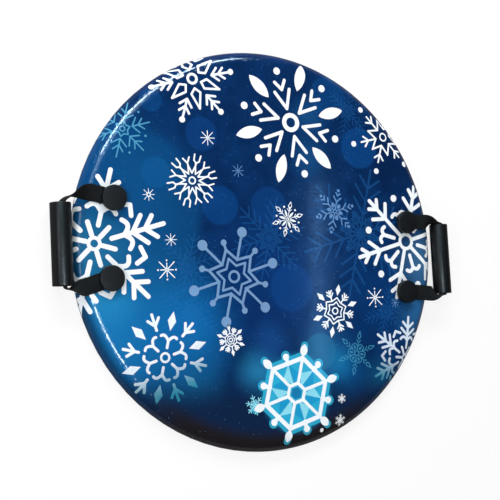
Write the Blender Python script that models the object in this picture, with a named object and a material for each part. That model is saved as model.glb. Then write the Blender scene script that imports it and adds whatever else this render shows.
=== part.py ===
"""Round foam snow sled with a printed top film and two webbing carry handles.

Metres, +Z up.  The sled lies flat with its printed side up.  The origin is on the
ground under the middle of the disc, +X points to the right handle and +Y to the front.
"""
import math
from collections import namedtuple

import bmesh
import bpy
from mathutils import Matrix, Vector

# Deck: a foam disc between a thin base sheet and a printed film.
DECK_RADIUS = 0.300          # outer edge of the base sheet
DECK_HEIGHT = 0.018          # ground to the top of the film
BASE_THICKNESS = 0.0012
FILM_THICKNESS = 0.0005
WELD_LEDGE = 0.0002          # how far the base sheet stands out past the film
ROLL_WIDTH = 0.026           # how far in from the rim the top starts to roll over

# Carry handles: one webbing strap through a plastic tube on each side.
CAP_INSET = 0.0552           # cap centre, measured inwards from the rim along X
CAP_SPACING = 0.1114         # between the two caps of one handle, along Y
WEBBING_WIDTH = 0.024
WEBBING_THICKNESS = 0.0016
TAB_TAIL = 0.0145            # webbing left past the bolt, towards the middle of the deck
TAB_REACH = 0.0037           # flat webbing between the cap and the fold it swings on
GRIP_LENGTH = 0.1126
GRIP_WALL = 0.0015
GRIP_EDGE_RADIUS = 0.0007
GRIP_GROUND_GAP = 0.0030
GRIP_RIM_GAP = 0.0003
GRIP_LEAN = math.radians(4.0)    # both tubes hang a little askew, seen from above
LEFT_SLIP = 0.0125           # how far the left tube has slid along its webbing, rearwards
RIGHT_SLIP = -0.0006
HANDLES = {
    # side: direction along X, and the tube's place along Y
    "left": (-1, -LEFT_SLIP),
    "right": (1, -RIGHT_SLIP),
}
# The four strap ends lie a little differently, as webbing does.  Splay and twist are in
# degrees; twist_from and twist_to are shares of the bend.  The runs are the webbing that
# goes on straight past the fold and out of the tube, rise is its hump over the rim, and
# pull is how far it lies over to the sled's side in the tube, all in widths of the webbing.
Bend = namedtuple("Bend", "splay twist start_run mouth_run twist_from twist_to rise pull")
STRAP_ENDS = {
    "left_front": Bend(9.76, 97.29, 0.966, 0.342, 0.005, 0.744, 0.415, 0.095),
    "left_rear": Bend(20.01, 84.82, 0.401, 0.487, 0.280, 0.759, 0.054, 0.104),
    "right_front": Bend(6.43, 89.10, 0.173, 0.115, 0.279, 0.699, 0.148, 0.034),
    "right_rear": Bend(0.05, 98.08, 1.242, 0.346, 0.250, 0.551, 0.375, 0.0),
}
SHEAR_SHARE = 0.3            # share of the bend in which the fold's skew straightens out

# Fasteners: a bolt through each strap end, under a cap that is pushed on.
CAP_RADIUS = 0.018
CAP_HEIGHT = 0.0072
CAP_EDGE_RADIUS = 0.0016
CAP_CROWN = 0.0007           # rise of the middle of the cap over its edge
WASHER_RADIUS = 0.0145
WASHER_THICKNESS = 0.0020
BOLT_RADIUS = 0.0030
BOLT_HEAD_RADIUS = 0.0055
BOLT_HEAD_HEIGHT = 0.0022
BOLT_TIP_ABOVE_GROUND = 0.0035
NUT_FLANGE_RADIUS = 0.0160
NUT_FLANGE_THICKNESS = 0.0016
NUT_ABOVE_GROUND = 0.0004
NUT_WALL = 0.0016
NUT_TOP_BELOW_DECK = 0.0060  # top of the nut's barrel, below the film

TOUCH = 0.0003               # air between two pieces that rest on each other
WEBBING_PLAY = 0.0010        # room around the webbing inside the tube
BOLT_PLAY = 0.0003           # room around a bolt or a nut in its hole

DECK_STEPS = 80
ROLL_STEPS = 7
ROUND_STEPS = 32             # caps and tubes
HIDDEN_STEPS = 20            # bolts, washers, nuts and their holes
BEND_STEPS = 16
TUBE_STEPS = 6
CUT_OVERRUN = 0.002

# Heights that follow from the stack of pieces.
ROLL_FOOT = BASE_THICKNESS + TOUCH
TAB_BOTTOM = DECK_HEIGHT + TOUCH
TAB_TOP = TAB_BOTTOM + WEBBING_THICKNESS
CLAMP_BOTTOM = TAB_TOP + TOUCH
CAP_TOP = CLAMP_BOTTOM + CAP_HEIGHT
HEAD_BOTTOM = CLAMP_BOTTOM + WASHER_THICKNESS + TOUCH
HEAD_TOP = HEAD_BOTTOM + BOLT_HEAD_HEIGHT
NUT_FLANGE_TOP = NUT_ABOVE_GROUND + NUT_FLANGE_THICKNESS
NUT_TOP = DECK_HEIGHT - NUT_TOP_BELOW_DECK

# Places that follow from the sizes above; OUT is measured from the middle along X.
CAP_OUT = DECK_RADIUS - CAP_INSET
FOLD_OUT = CAP_OUT + CAP_RADIUS + TAB_REACH
NUT_BORE_RADIUS = BOLT_RADIUS + BOLT_PLAY
NUT_BARREL_RADIUS = NUT_BORE_RADIUS + NUT_WALL
GRIP_BORE_RADIUS = math.hypot(WEBBING_WIDTH, WEBBING_THICKNESS) / 2 + WEBBING_PLAY
GRIP_RADIUS = GRIP_BORE_RADIUS + GRIP_WALL
GRIP_OUT = DECK_RADIUS + GRIP_RIM_GAP + GRIP_RADIUS
GRIP_AXIS_HEIGHT = GRIP_GROUND_GAP + GRIP_RADIUS
GRIP_DIRECTION = Vector((-math.sin(GRIP_LEAN), math.cos(GRIP_LEAN), 0.0))

UP = Vector((0.0, 0.0, 1.0))
FORWARD = Vector((0.0, 1.0, 0.0))


def clear_scene():
    for item in list(bpy.data.objects):
        bpy.data.objects.remove(item, do_unlink=True)


def make_material(name, colour, roughness, metallic=0.0):
    material = bpy.data.materials.new(name)
    material.use_nodes = True
    shader = material.node_tree.nodes["Principled BSDF"]
    shader.inputs["Base Color"].default_value = (*colour, 1.0)
    shader.inputs["Roughness"].default_value = roughness
    shader.inputs["Metallic"].default_value = metallic
    material.diffuse_color = (*colour, 1.0)
    return material


def add_object(name, shape, material, place=(0.0, 0.0, 0.0)):
    """Turn a bmesh into a named object that stands at a place."""
    bmesh.ops.recalc_face_normals(shape, faces=shape.faces)
    mesh = bpy.data.meshes.new(name)
    shape.to_mesh(mesh)
    shape.free()
    mesh.materials.append(material)
    mesh.shade_smooth()
    mesh.set_sharp_from_angle(angle=math.radians(30))
    item = bpy.data.objects.new(name, mesh)
    item.location = place
    bpy.context.scene.collection.objects.link(item)
    return item


def arc(centre, radii, first, last, steps):
    """Points (radius, height) on a quarter or part of an ellipse, angles from upright."""
    points = []
    for i in range(steps + 1):
        angle = first + (last - first) * i / steps
        points.append((centre[0] + radii[0] * math.sin(angle),
                       centre[1] + radii[1] * math.cos(angle)))
    return points


def turned(profile, steps, ring=False):
    """Spin a profile of (radius, height) points about Z; a ring's profile is closed."""
    shape = bmesh.new()
    points = [shape.verts.new((radius, 0.0, height)) for radius, height in profile]
    edges = [shape.edges.new(pair) for pair in zip(points, points[1:])]
    if ring:
        edges.append(shape.edges.new((points[-1], points[0])))
    bmesh.ops.spin(shape, geom=points + edges, cent=(0, 0, 0), axis=(0, 0, 1),
                   angle=math.tau, steps=steps, use_merge=True)
    bmesh.ops.remove_doubles(shape, verts=shape.verts, dist=1e-6)
    return shape


def cutter(name, radius, bottom, top, place):
    """A hidden cylinder that a Boolean subtracts."""
    profile = [(0.0, top), (radius, top), (radius, bottom), (0.0, bottom)]
    item = add_object(name, turned(profile, HIDDEN_STEPS), MATERIALS["bolt"], place)
    item.hide_render = True
    item.display_type = "WIRE"
    return item


def cut(item, tool):
    step = item.modifiers.new(tool.name, "BOOLEAN")
    step.operation = "DIFFERENCE"
    step.solver = "EXACT"
    step.object = tool


def corners():
    """Each strap end: its name, its directions along X and Y, and its bolt's place."""
    for side, (across, _slip) in HANDLES.items():
        for end, along in (("front", 1), ("rear", -1)):
            bolt = Vector((across * CAP_OUT, along * CAP_SPACING / 2, 0.0))
            yield f"{side}_{end}", across, along, bolt


def strap_heading(name, across, along):
    """Direction in which a strap end leaves its bolt."""
    splay = math.radians(STRAP_ENDS[name].splay)
    return Vector((across * math.cos(splay), along * math.sin(splay), 0.0))


def roll_profile(skin_depth):
    """The rolled edge of the deck, skin_depth inside the film's outer face."""
    start = DECK_RADIUS - WELD_LEDGE - ROLL_WIDTH
    radii = (ROLL_WIDTH - skin_depth, DECK_HEIGHT - ROLL_FOOT - skin_depth)
    return arc((start, ROLL_FOOT), radii, 0.0, math.pi / 2, ROLL_STEPS)


def make_deck():
    """Base sheet, foam core and printed film, with a hole through all for each bolt."""
    base_profile = [(0.0, BASE_THICKNESS), (DECK_RADIUS, BASE_THICKNESS),
                    (DECK_RADIUS, 0.0), (0.0, 0.0)]
    base = add_object("slick_base", turned(base_profile, DECK_STEPS), MATERIALS["base"])

    foam_profile = [(0.0, DECK_HEIGHT - FILM_THICKNESS - TOUCH)]
    foam_profile += roll_profile(FILM_THICKNESS + TOUCH)
    foam_profile.append((0.0, ROLL_FOOT))
    foam = add_object("foam_core", turned(foam_profile, DECK_STEPS), MATERIALS["foam"])

    film_profile = [(0.0, DECK_HEIGHT)] + roll_profile(0.0)
    film_profile += list(reversed(roll_profile(FILM_THICKNESS)))
    film_profile.append((0.0, DECK_HEIGHT - FILM_THICKNESS))
    film = add_object("printed_film", turned(film_profile, DECK_STEPS), MATERIALS["film"])

    for name, _across, _along, bolt in corners():
        flange_hole = cutter(f"{name}_flange_cut", NUT_FLANGE_RADIUS + BOLT_PLAY,
                             -CUT_OVERRUN, NUT_FLANGE_TOP + TOUCH, bolt)
        barrel_hole = cutter(f"{name}_barrel_cut", NUT_BARREL_RADIUS + BOLT_PLAY,
                             0.0, DECK_HEIGHT, bolt)
        bolt_hole = cutter(f"{name}_bolt_cut", BOLT_RADIUS + BOLT_PLAY,
                           0.0, CAP_TOP, bolt)
        cut(base, flange_hole)
        cut(foam, flange_hole)
        cut(foam, barrel_hole)
        cut(film, bolt_hole)


def make_fasteners():
    """Cap, washer, bolt and flanged nut at each strap end, stacked through the deck."""
    cap_side = CAP_TOP - CAP_CROWN - CAP_EDGE_RADIUS
    cap_wall = CAP_RADIUS - WASHER_RADIUS - TOUCH
    cap_inside = [(CAP_RADIUS - cap_wall, CLAMP_BOTTOM),
                  (CAP_RADIUS - cap_wall, HEAD_TOP + TOUCH),
                  (0.0, HEAD_TOP + TOUCH)]
    cap_profile = [(0.0, CAP_TOP), (CAP_RADIUS / 2, CAP_TOP - CAP_CROWN / 4)]
    cap_profile += arc((CAP_RADIUS - CAP_EDGE_RADIUS, cap_side),
                       (CAP_EDGE_RADIUS, CAP_EDGE_RADIUS), 0.0, math.pi / 2, 4)
    cap_profile += [(CAP_RADIUS, CLAMP_BOTTOM)] + cap_inside

    washer_profile = [(BOLT_RADIUS + BOLT_PLAY, CLAMP_BOTTOM),
                      (BOLT_RADIUS + BOLT_PLAY, CLAMP_BOTTOM + WASHER_THICKNESS),
                      (WASHER_RADIUS, CLAMP_BOTTOM + WASHER_THICKNESS),
                      (WASHER_RADIUS, CLAMP_BOTTOM)]

    bolt_profile = [(0.0, HEAD_TOP), (BOLT_HEAD_RADIUS, HEAD_TOP),
                    (BOLT_HEAD_RADIUS, HEAD_BOTTOM), (BOLT_RADIUS, HEAD_BOTTOM),
                    (BOLT_RADIUS, BOLT_TIP_ABOVE_GROUND), (0.0, BOLT_TIP_ABOVE_GROUND)]

    nut_profile = [(NUT_BORE_RADIUS, NUT_TOP), (NUT_BARREL_RADIUS, NUT_TOP),
                   (NUT_BARREL_RADIUS, NUT_FLANGE_TOP), (NUT_FLANGE_RADIUS, NUT_FLANGE_TOP),
                   (NUT_FLANGE_RADIUS, NUT_ABOVE_GROUND), (NUT_BORE_RADIUS, NUT_ABOVE_GROUND)]

    for name, _across, _along, bolt in corners():
        add_object(f"{name}_cap", turned(cap_profile, ROUND_STEPS), MATERIALS["cap"], bolt)
        add_object(f"{name}_washer", turned(washer_profile, HIDDEN_STEPS, ring=True),
                   MATERIALS["washer"], bolt)
        add_object(f"{name}_bolt", turned(bolt_profile, HIDDEN_STEPS), MATERIALS["bolt"], bolt)
        add_object(f"{name}_nut", turned(nut_profile, HIDDEN_STEPS, ring=True),
                   MATERIALS["nut"], bolt)


def make_strap_tabs():
    """The flat strap ends: clamped under the caps, cut off at the fold."""
    for name, across, along, bolt in corners():
        heading = strap_heading(name, across, along)
        sideways = UP.cross(heading)
        outline = []
        for side in (-1, 1):
            edge = sideways * side * WEBBING_WIDTH / 2
            reach = (FOLD_OUT - TOUCH - CAP_OUT - across * edge.x) / (across * heading.x)
            outline.append((edge - heading * TAB_TAIL, edge + heading * reach))
        (tail_a, tip_a), (tail_b, tip_b) = outline
        shape = bmesh.new()
        verts = [shape.verts.new(point) for point in (tail_a, tip_a, tip_b, tail_b)]
        face = shape.faces.new(verts)
        grown = bmesh.ops.extrude_face_region(shape, geom=[face])["geom"]
        raised = [item for item in grown if isinstance(item, bmesh.types.BMVert)]
        bmesh.ops.translate(shape, verts=raised, vec=UP * WEBBING_THICKNESS)
        place = bolt + UP * TAB_BOTTOM
        tab = add_object(f"{name}_strap_tab", shape, MATERIALS["webbing"], place)
        cut(tab, bpy.data.objects[f"{name}_bolt_cut"])


def smooth(value):
    value = min(max(value, 0.0), 1.0)
    return value * value * (3 - 2 * value)


def bend_stations(name, across, along, mouth):
    """Webbing from the fold to the tube's mouth: centre, half width and half thickness."""
    bend = STRAP_ENDS[name]
    heading = strap_heading(name, across, along)
    drift = (FOLD_OUT - CAP_OUT) * math.tan(math.radians(bend.splay))
    fold = Vector((across * FOLD_OUT, along * (CAP_SPACING / 2 + drift),
                   (TAB_BOTTOM + TAB_TOP) / 2))
    first = fold + heading * bend.start_run * WEBBING_WIDTH
    last = mouth + GRIP_DIRECTION * along * bend.mouth_run * WEBBING_WIDTH
    twist_share = bend.twist_to - bend.twist_from
    stations = []
    for i in range(BEND_STEPS + 1):
        s = i / BEND_STEPS
        centre = ((1 - s) ** 3 * fold + 3 * s * (1 - s) ** 2 * first
                  + 3 * s * s * (1 - s) * last + s ** 3 * mouth)
        tangent = ((1 - s) ** 2 * (first - fold) + 2 * s * (1 - s) * (last - first)
                   + s * s * (mouth - last))
        tangent.z = 0.0
        tangent.normalize()
        centre.z += bend.rise * WEBBING_WIDTH * math.sin(math.pi * s) ** 2
        square = UP.cross(tangent) * across * along
        flat = (FORWARD * along).lerp(square, smooth(s / SHEAR_SHARE)).normalized()
        flat /= flat.dot(square)
        turn = math.radians(bend.twist) * smooth((s - bend.twist_from) / twist_share)
        width = flat * math.cos(turn) + UP * math.sin(turn)
        thickness = tangent.cross(width).normalized() * across * along
        stations.append((centre, width * WEBBING_WIDTH / 2,
                         thickness * WEBBING_THICKNESS / 2))
    return stations


def tube_stations(side, outward, front, rear):
    """Webbing inside the tube, where it turns from one mouth's twist to the other's."""
    front_twist = STRAP_ENDS[f"{side}_front"].twist
    rear_twist = STRAP_ENDS[f"{side}_rear"].twist
    stations = []
    for i in range(1, TUBE_STEPS):
        share = i / TUBE_STEPS
        turn = math.radians(front_twist + (rear_twist - front_twist) * share)
        width = outward * math.cos(turn) + UP * math.sin(turn)
        thickness = UP * math.cos(turn) - outward * math.sin(turn)
        stations.append((front.lerp(rear, share), width * WEBBING_WIDTH / 2,
                         thickness * WEBBING_THICKNESS / 2))
    return stations


def make_handles():
    """The swinging part of each strap, in one piece through its tube, and the tube."""
    end = GRIP_LENGTH / 2
    rim = GRIP_RADIUS - GRIP_EDGE_RADIUS
    rounding = (GRIP_EDGE_RADIUS, GRIP_EDGE_RADIUS)
    grip_profile = [(GRIP_BORE_RADIUS, -end), (GRIP_BORE_RADIUS, end)]
    grip_profile += arc((rim, end - GRIP_EDGE_RADIUS), rounding, 0.0, math.pi / 2, 3)
    grip_profile += arc((rim, GRIP_EDGE_RADIUS - end), rounding, math.pi / 2, math.pi, 3)

    for side, (across, slip) in HANDLES.items():
        middle = Vector((across * GRIP_OUT, slip, GRIP_AXIS_HEIGHT))
        outward = UP.cross(GRIP_DIRECTION) * -across
        front_pull = outward * STRAP_ENDS[f"{side}_front"].pull * WEBBING_WIDTH
        rear_pull = outward * STRAP_ENDS[f"{side}_rear"].pull * WEBBING_WIDTH
        front = middle + GRIP_DIRECTION * end - front_pull
        rear = middle - GRIP_DIRECTION * end - rear_pull
        stations = bend_stations(f"{side}_front", across, 1, front)
        stations += tube_stations(side, outward, front, rear)
        stations += reversed(bend_stations(f"{side}_rear", across, -1, rear))
        shape = bmesh.new()
        rings = []
        for centre, width, thickness in stations:
            rings.append([shape.verts.new(centre + width * a + thickness * b)
                          for a, b in ((1, 1), (1, -1), (-1, -1), (-1, 1))])
        for one, two in zip(rings, rings[1:]):
            for i in range(4):
                j = (i + 1) % 4
                shape.faces.new((one[i], one[j], two[j], two[i]))
        shape.faces.new(rings[0])
        shape.faces.new(list(reversed(rings[-1])))
        loop = add_object(f"{side}_strap_loop", shape, MATERIALS["webbing"])
        fold = Vector((across * FOLD_OUT, 0.0, TAB_TOP))
        loop.data.transform(Matrix.Translation(-fold))
        loop.location = fold

        grip = add_object(f"{side}_grip", turned(grip_profile, ROUND_STEPS, ring=True),
                          MATERIALS["grip"], middle)
        grip.rotation_euler = (-math.pi / 2, 0.0, GRIP_LEAN)


clear_scene()
MATERIALS = {
    "film": make_material("printed_gloss_film", (0.010, 0.090, 0.300), 0.22),
    "foam": make_material("closed_cell_foam", (0.800, 0.810, 0.820), 0.90),
    "base": make_material("slick_base_sheet", (0.020, 0.022, 0.025), 0.35),
    "webbing": make_material("woven_webbing", (0.010, 0.010, 0.011), 0.85),
    "grip": make_material("moulded_grip_tube", (0.014, 0.015, 0.017), 0.45),
    "cap": make_material("moulded_cap", (0.013, 0.013, 0.015), 0.50),
    "washer": make_material("moulded_washer", (0.020, 0.020, 0.022), 0.55),
    "bolt": make_material("zinc_plated_bolt", (0.560, 0.570, 0.580), 0.35, 1.0),
    "nut": make_material("zinc_plated_nut", (0.500, 0.510, 0.520), 0.40, 1.0),
}
make_deck()
make_fasteners()
make_strap_tabs()
make_handles()
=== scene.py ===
# %% [markdown]
# # A round foam snow sled
#
# The sled is a disc of closed-cell foam.  A slick black sheet is its running side, and a glossy
# film, printed with snowflakes, is rolled over its top and edge.  Two handles of black webbing,
# each with a plastic tube to hold, are bolted on under round caps.  This file loads the plain
# model of the parts, which stays where it is, and dresses it: the camera and light come first,
# then the film, its print, the webbing, the plastics, and the pieces on the underside.

import math
from collections import namedtuple

import bmesh
import bpy
from mathutils import Matrix, Vector
from mathutils.geometry import delaunay_2d_cdt


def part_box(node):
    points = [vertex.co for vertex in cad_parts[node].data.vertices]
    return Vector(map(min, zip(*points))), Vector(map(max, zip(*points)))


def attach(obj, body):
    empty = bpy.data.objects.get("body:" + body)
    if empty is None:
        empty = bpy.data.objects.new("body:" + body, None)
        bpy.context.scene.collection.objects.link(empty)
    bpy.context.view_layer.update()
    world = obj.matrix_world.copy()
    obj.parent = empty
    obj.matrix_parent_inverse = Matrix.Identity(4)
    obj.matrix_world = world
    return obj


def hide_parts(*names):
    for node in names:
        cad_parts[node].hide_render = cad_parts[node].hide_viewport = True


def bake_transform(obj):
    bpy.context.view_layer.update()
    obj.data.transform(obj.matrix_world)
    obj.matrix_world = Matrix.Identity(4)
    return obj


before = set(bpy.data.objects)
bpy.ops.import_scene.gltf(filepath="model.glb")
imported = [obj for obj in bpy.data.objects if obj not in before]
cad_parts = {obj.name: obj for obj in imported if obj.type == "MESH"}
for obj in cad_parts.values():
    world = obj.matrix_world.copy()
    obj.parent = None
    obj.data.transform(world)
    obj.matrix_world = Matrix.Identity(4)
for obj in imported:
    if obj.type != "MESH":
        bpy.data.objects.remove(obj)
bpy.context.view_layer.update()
MM = 0.001
UP = Vector((0, 0, 1))

# %% [markdown]
# ## Camera
#
# The sled was photographed from above its left side with an ordinary lens.  The camera is placed
# by three directions at right angles: where it looks, what is up in the picture, and what is
# right.  A matrix made from them says the same as an aimed empty, and keeps the slight roll that
# a hand-held camera has.

# %% Camera
CAMERA_PLACE = Vector((-0.6523, -0.1508, 1.2706))
LOOKS_ALONG = Vector((0.44089, 0.10414, -0.8915)).normalized()
PICTURE_UP = Vector((-0.05629, 0.9945, 0.08834)).normalized()
LENS, SENSOR = 68.63, 36.0         # both in mm, as on a real camera

picture_right = LOOKS_ALONG.cross(PICTURE_UP).normalized()
picture_up = picture_right.cross(LOOKS_ALONG)
camera_data = bpy.data.cameras.new("photo_camera")
camera_data.lens = LENS
camera_data.sensor_width = SENSOR
camera_data.clip_start = 0.01
camera = bpy.data.objects.new("photo_camera", camera_data)
turn = Matrix((picture_right, picture_up, -LOOKS_ALONG)).transposed().to_4x4()
camera.matrix_world = Matrix.Translation(CAMERA_PLACE) @ turn
bpy.context.scene.collection.objects.link(camera)
bpy.context.scene.camera = camera
bpy.context.scene.view_settings.view_transform = "Standard"
print("camera looks down", round(math.degrees(math.asin(-LOOKS_ALONG.z))), "degrees")

# %% [markdown]
# ## Helpers for materials
#
# Colours are written as web colours, as a designer picks them, and Blender wants linear light,
# so one function turns one into the other.  A second adds a node together with its settings and
# whatever feeds its sockets, and a third starts a material, which keeps each material below
# short enough to read.

# %% Colours and nodes
def linear(web_colour):
    """'#rrggbb' as linear red, green, blue and alpha."""
    out = []
    for i in (1, 3, 5):
        value = int(web_colour[i:i + 2], 16) / 255
        out.append(value / 12.92 if value <= 0.04045 else ((value + 0.055) / 1.055) ** 2.4)
    return (*out, 1.0)


def add_node(tree, kind, inputs=None, **settings):
    """Add a node; inputs maps a socket's name or number to a value or to a socket."""
    node = tree.nodes.new(kind)
    for name, value in settings.items():
        setattr(node, name, value)
    for name, value in (inputs or {}).items():
        if isinstance(value, bpy.types.NodeSocket):
            tree.links.new(value, node.inputs[name])
        else:
            node.inputs[name].default_value = value
    return node


def new_material(name):
    """An empty Principled material: its node tree and its shader."""
    material = bpy.data.materials.new(name)
    material.use_nodes = True
    tree = material.node_tree
    return material, tree, tree.nodes["Principled BSDF"]


print("white is", linear("#ffffff"))

# %% [markdown]
# ## Floor
#
# The sled stands on a white paper sweep, as for a catalogue picture.  The camera sees the paper
# as nearly white, but it still takes the sled's shadow: part of what the camera gets from it is
# plain white, the rest is its real shading, and further out it is all white.  In reflections the
# paper is greyer, as if black cards stood beside the sled: that is how the black plastic keeps
# its dark edges.

# %% Floor
FLOOR_HALF = 4.0                   # metres from the middle of the paper to its edges
FLOOR_DROP = 0.3 * MM              # the paper lies this far under the sled
FLOOR_WHITE = 0.80                 # share of plain white in what the camera sees of it,
WHITE_FROM, WHITE_BY = 0.5, 1.6    # and in metres, where that share starts and ends growing
floor_mesh = bpy.data.meshes.new("floor")
floor_mesh.from_pydata([(x * FLOOR_HALF, y * FLOOR_HALF, -FLOOR_DROP)
                        for x, y in ((-1, -1), (1, -1), (1, 1), (-1, 1))],
                       [], [(0, 1, 2, 3)])
floor = bpy.data.objects.new("floor", floor_mesh)
bpy.context.scene.collection.objects.link(floor)
paper, tree, shader = new_material("white_paper_sweep")
shader.inputs["Roughness"].default_value = 0.9
shader.inputs["Specular IOR Level"].default_value = 0.0
rays = add_node(tree, "ShaderNodeLightPath")
shade = add_node(tree, "ShaderNodeMix", {0: rays.outputs["Is Glossy Ray"], 6: linear("#fafafa"),
                                         7: linear("#7d7d7d")}, data_type="RGBA")
tree.links.new(shade.outputs[2], shader.inputs["Base Color"])
away = add_node(tree, "ShaderNodeVectorMath",
                {0: add_node(tree, "ShaderNodeTexCoord").outputs["Object"]}, operation="LENGTH")
white = add_node(tree, "ShaderNodeMapRange", {0: away.outputs["Value"], 1: WHITE_FROM,
                                              2: WHITE_BY, 3: FLOOR_WHITE, 4: 1.0})
seen = add_node(tree, "ShaderNodeMath", {0: rays.outputs["Is Camera Ray"], 1: white.outputs[0]},
                operation="MULTIPLY")
glow = add_node(tree, "ShaderNodeEmission", {"Color": linear("#ffffff"), "Strength": 1.0})
both = add_node(tree, "ShaderNodeMixShader", {0: seen.outputs[0], 1: shader.outputs[0],
                                              2: glow.outputs[0]})
tree.links.new(both.outputs[0], tree.nodes["Material Output"].inputs["Surface"])
floor_mesh.materials.append(paper)
print("floor", tuple(round(side) for side in floor.dimensions), "metres")

# %% [markdown]
# ## Sky
#
# The sky lights everything softly and is white to the camera.  In reflections it is grey at the
# horizon and darkens overhead, because a studio's ceiling is dim and a glossy film shows what is
# above it.  A Light Path node tells these three apart, so that one world serves them all.

# %% Sky
SKY_LIGHT = 0.57                   # what the sky gives to matt surfaces
HORIZON, CEILING = 0.5, 0.03       # what a reflection finds low down and overhead
CEILING_FROM = 0.24                # how steep a direction has to be to find only ceiling
world = bpy.data.worlds.new("studio")
bpy.context.scene.world = world
world.use_nodes = True
tree = world.node_tree
tree.nodes.clear()
rays = add_node(tree, "ShaderNodeLightPath")
direction = add_node(tree, "ShaderNodeTexCoord")
height = add_node(tree, "ShaderNodeSeparateXYZ", {0: direction.outputs["Generated"]})
ceiling = add_node(tree, "ShaderNodeMapRange", {0: height.outputs["Z"], 1: 0.0, 2: CEILING_FROM,
                                                3: HORIZON, 4: CEILING},
                   interpolation_type="SMOOTHSTEP")
mirror = add_node(tree, "ShaderNodeMath", {0: rays.outputs["Is Glossy Ray"],
                                           1: rays.outputs["Is Transmission Ray"]},
                  operation="MAXIMUM")
matt_or_mirror = add_node(tree, "ShaderNodeMix", {0: mirror.outputs[0], 2: SKY_LIGHT,
                                                  3: ceiling.outputs[0]}, data_type="FLOAT")
strength = add_node(tree, "ShaderNodeMix", {0: rays.outputs["Is Camera Ray"],
                                            2: matt_or_mirror.outputs[0], 3: 1.0},
                    data_type="FLOAT")
background = add_node(tree, "ShaderNodeBackground", {"Color": linear("#ffffff"),
                                                     "Strength": strength.outputs[0]})
add_node(tree, "ShaderNodeOutputWorld", {"Surface": background.outputs[0]})
print("sky light", SKY_LIGHT)

# %% [markdown]
# ## Lamps
#
# The lamps are strips, like softboxes.  One long strip behind the sled and a small one at its
# left give matt surfaces their light and do not show in the gloss.  The next four do the
# reverse: they draw the broken highlights along the rim and the soft bands over the film, and
# leave the colours of the print as they are.  The last one does both, for the tubes.


# %% Lamps
def soft_lamp(name, start, end, width, target, power, colour, serves):
    """A strip lamp from one point to another, with its flat side towards a target."""
    start, end, target = Vector(start), Vector(end), Vector(target)
    data = bpy.data.lights.new(name, "AREA")
    data.shape = "RECTANGLE"
    data.size, data.size_y = (end - start).length, width
    data.energy = power
    data.color = linear(colour)[:3]
    along = (end - start).normalized()
    behind = (start + end) / 2 - target
    behind = (behind - along * behind.dot(along)).normalized()
    lamp = bpy.data.objects.new(name, data)
    turn = Matrix((along, behind.cross(along), behind)).transposed().to_4x4()
    lamp.matrix_world = Matrix.Translation((start + end) / 2) @ turn
    lamp.visible_diffuse = serves != "gloss"
    lamp.visible_glossy = serves != "matt"
    lamp.visible_camera = False
    bpy.context.scene.collection.objects.link(lamp)
    return data.size * data.size_y


LAMPS = [
    # name, one end, other end, width, what it is turned to, watts, colour, what it serves
    ("long_back", (-2.2, 2.0, 1.60), (1.3, 2.0, 0.90), 0.38, (-0.15, 0.1, 0), 55, "#ffffff",
     "matt"),
    ("left_fill", (-1.0, -0.35, 0.9), (-1.0, 0.15, 0.9), 0.30, (-0.25, -0.05, 0), 2.6, "#ffffff",
     "matt"),
    ("back_gloss", (-1.03, 1.14, 1.6), (1.10, 3.35, 1.6), 0.26, (-0.2, 0.2, 0), 104, "#d4f2ff",
     "gloss"),
    ("back_glow", (-1.10, 0.70, 1.6), (-0.17, 1.36, 1.6), 0.42, (-0.2, 0.2, 0), 5.9, "#bfe8ff",
     "gloss"),
    ("left_gloss", (-0.62, -0.21, 1.6), (-0.12, -0.55, 1.6), 0.13, (-0.2, -0.1, 0), 11,
     "#dff4ff", "gloss"),
    ("right_gloss", (1.14, -0.25, 1.8), (1.12, 0.48, 1.8), 0.055, (0.06, 0, 0), 0.66, "#7cbcff",
     "gloss"),
    ("tube_gloss", (-1.2, -0.30, 0.95), (-1.2, 0.38, 0.95), 0.34, (-0.3, 0, 0), 2.9, "#e8f2ff",
     "both"),
]
for name, start, end, width, target, power, colour, serves in LAMPS:
    area = soft_lamp(name, start, end, width, target, power, colour, serves)
    print(name, power, "watts from", round(area, 3), "square metres, for", serves)

# %% [markdown]
# ## The colours of the print
#
# The film is a clear gloss laminate over an inkjet print.  Its ground is a night sky: navy, a
# lighter blue towards the left, soft round lights out of focus, and nearly black along the
# front edge.  Over the rolled edge the ground also holds painted light: a painted reflection on
# the right of the rim, and painted shade where the roll turns away from the lamps.
# The ground is a node group that works from the place on the disc, because the snowflakes are
# printed in the same ink: where they fade, they fade into this same ground.
#
# It starts as two navy blues that drift into each other like cloud.  Each cell after that lays
# one more thing over the colour so far, and the last one hands it on.

# %% Begin the ground
CLOUD_SIZE = 38 * MM
ground = bpy.data.node_groups.new("print_ground", "ShaderNodeTree")
for name, kind in (("Color", "Color"), ("Fade", "Float"), ("Dent", "Float"),
                   ("Stretch", "Float")):
    ground.interface.new_socket(name, in_out="OUTPUT", socket_type="NodeSocket" + kind)
place = add_node(ground, "ShaderNodeTexCoord").outputs["Object"]
flat_place = add_node(ground, "ShaderNodeVectorMath", {0: place, 1: (1, 1, 0)},
                      operation="MULTIPLY").outputs[0]
cloud = add_node(ground, "ShaderNodeTexNoise", {"Vector": flat_place, "Scale": 1 / CLOUD_SIZE,
                                                "Detail": 3.0})
drift = add_node(ground, "ShaderNodeMapRange", {0: cloud.outputs["Fac"], 1: 0.3, 2: 0.7, 3: 0.0,
                                                4: 1.0})
start = add_node(ground, "ShaderNodeMix", {0: drift.outputs[0], 6: linear("#05244e"),
                                           7: linear("#083063")}, data_type="RGBA")
colour = start.outputs[2]
print("clouds of about", round(CLOUD_SIZE / MM), "mm")
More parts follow.
